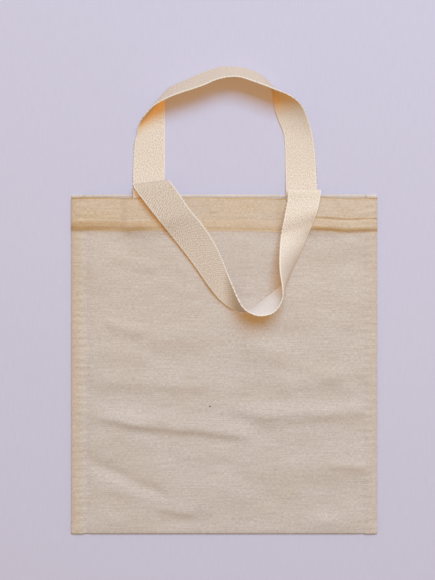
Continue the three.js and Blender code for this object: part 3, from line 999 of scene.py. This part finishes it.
def build_handle(which, body, route, rests_on, end_z, painted_shading, materials):
    """One handle: its tape, the picots on its standing edge, and the stitches at its sewn ends. The
    stitches go with the body named; the tape and picots stay where they are built."""
    low, high, even = tape_edges(route, rests_on, end_z)
    strip, at, top = tape(f"{which}_handle_tape", low, high, even)
    picots, picot_at = picot_edge(f"{which}_handle_picots", low, high, even)
    # Painted shade and painted highlight for each face of the tape.
    mark(strip, "painted_shading", np.where(top, *painted_shading(at)))
    # A painted glow where light shines through the rear tape's shoulders.
    mark(strip, "lit_through", np.where(top, lit_through(at), 0 * at) * (which == "rear"))
    webbing, picot_yarn, thread = materials
    for piece, along, material in ((strip, at, webbing), (picots, picot_at, picot_yarn)):
        follow(piece)
        piece.data.materials.append(material)
    parts = ("left_end", "left_bend", "loop", "right_bend", "right_end")
    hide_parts(*[f"{which}_handle_{part}" for part in parts])
    boxes = [build_box_stitches(which, side, body, end_z, thread) for side in ("left", "right")]


def build_seed_flecks(material):
    """Scraps of seed husk on the front, each a flat grain lying in the weave."""
    spots = np.array(SEED_FLECKS)
    x = spots[:, 0] * MM
    y = MOUTH + spots[:, 1] * MM
    places = np.stack([x, y, front_face(x, y) + 0.02 * MM], -1)
    points, corners, sizes = bead(1 * MM, 0.3 * MM)
    angles = np.arange(len(spots)) * 2.4
    run = np.stack([np.cos(angles), np.sin(angles), 0 * angles], -1)
    side = np.stack([-np.sin(angles), np.cos(angles), 0 * angles], -1)
    up = np.broadcast_to([0.0, 0.0, 0.35], run.shape)
    axes = np.stack([run, side, up], 1) * spots[:, 2][:, None, None]
    flecks = small_copies("seed_flecks", points, corners, sizes, places, axes)
    flecks.data.materials.append(material)
    lift_with_front(flecks)


# ---------------------------------------------------------------- the table, lights and camera


def build_table():
    """A plain pale floor under the bag."""
    size = 3.0
    corners = [(-size, -size, 0), (size, -size, 0), (size, size, 0), (-size, size, 0)]
    floor = mesh_piece("table_cover", np.array(corners) - [0, 0, 0.02 * MM], range(4), [4])
    floor.data.materials.append(table_material())


def add_light(name, place, target, size, power):
    """A square soft light that faces a point."""
    light = bpy.data.lights.new(name, "AREA")
    light.size = size
    light.energy = power
    lamp = bpy.data.objects.new(name, light)
    bpy.context.collection.objects.link(lamp)
    lamp.location = place
    lamp.rotation_mode = "QUATERNION"
    lamp.rotation_quaternion = (Vector(target) - Vector(place)).to_track_quat("-Z", "Y")
    return lamp


def build_light():
    """One large soft light from beyond the handles, a little to the right, and a faintly warm fill
    from all round. Together they are neutral on the table. The fill itself is seen as pale grey."""
    rise = math.radians(60)
    turn = math.radians(16)
    away = 3.2
    direction = [math.sin(turn) * math.cos(rise), math.cos(turn) * math.cos(rise), math.sin(rise)]
    lamp = add_light("window", away * np.array(direction), (0, 0, 0), 0.56 * away, 107)
    lamp.data.color = colour("DEEFFF")[:3]
    world = bpy.data.worlds.new("even fill")
    bpy.context.scene.world = world
    world.use_nodes = True
    world.node_tree.nodes.clear()
    fill = add(world, "ShaderNodeBackground", Color=colour("FFDFB4"), Strength=0.43)
    backdrop = add(world, "ShaderNodeBackground", Color=colour("CCC7D6"), Strength=1.0)
    rays = add(world, "ShaderNodeLightPath")
    seen = add(world, "ShaderNodeMixShader", _0=rays.outputs["Is Camera Ray"], _1=fill, _2=backdrop)
    add(world, "ShaderNodeOutputWorld", Surface=seen)


def build_camera():
    """Straight down from about 0.78 m, a little above the bag's middle and left of it, where it
    takes in 0.566 m of the table from top to bottom."""
    height = 0.78
    table_seen = 0.566
    data = bpy.data.cameras.new("camera")
    data.sensor_width = 36
    data.lens = data.sensor_width * height / table_seen
    data.dof.use_dof = False
    camera = bpy.data.objects.new("camera", data)
    bpy.context.collection.objects.link(camera)
    camera.location = (-6.6 * MM, MOUTH - 92.7 * MM, height)
    camera.rotation_euler = (0, 0, 0)
    bpy.context.scene.camera = camera


build_camera()
MUSLIN = muslin_material()
THREAD = thread_material()
HANDLE_MATERIALS = (herringbone_material(), picot_material(), THREAD)
build_cloth(MUSLIN, THREAD)
build_handle("rear", "back", REAR_ROUTE, lambda x, y: 0 * x, REAR_END_Z,
             rear_painted_shading, HANDLE_MATERIALS)
build_handle("front", "front", FRONT_ROUTE, lambda x, y: front_form(x, y) + 1.2 * MM, FRONT_END_Z,
             front_painted_shading, HANDLE_MATERIALS)
build_seed_flecks(seed_fleck_material())
build_table()
build_light()
bpy.context.scene.view_settings.view_transform = "Standard"

bpy.context.view_layer.update()
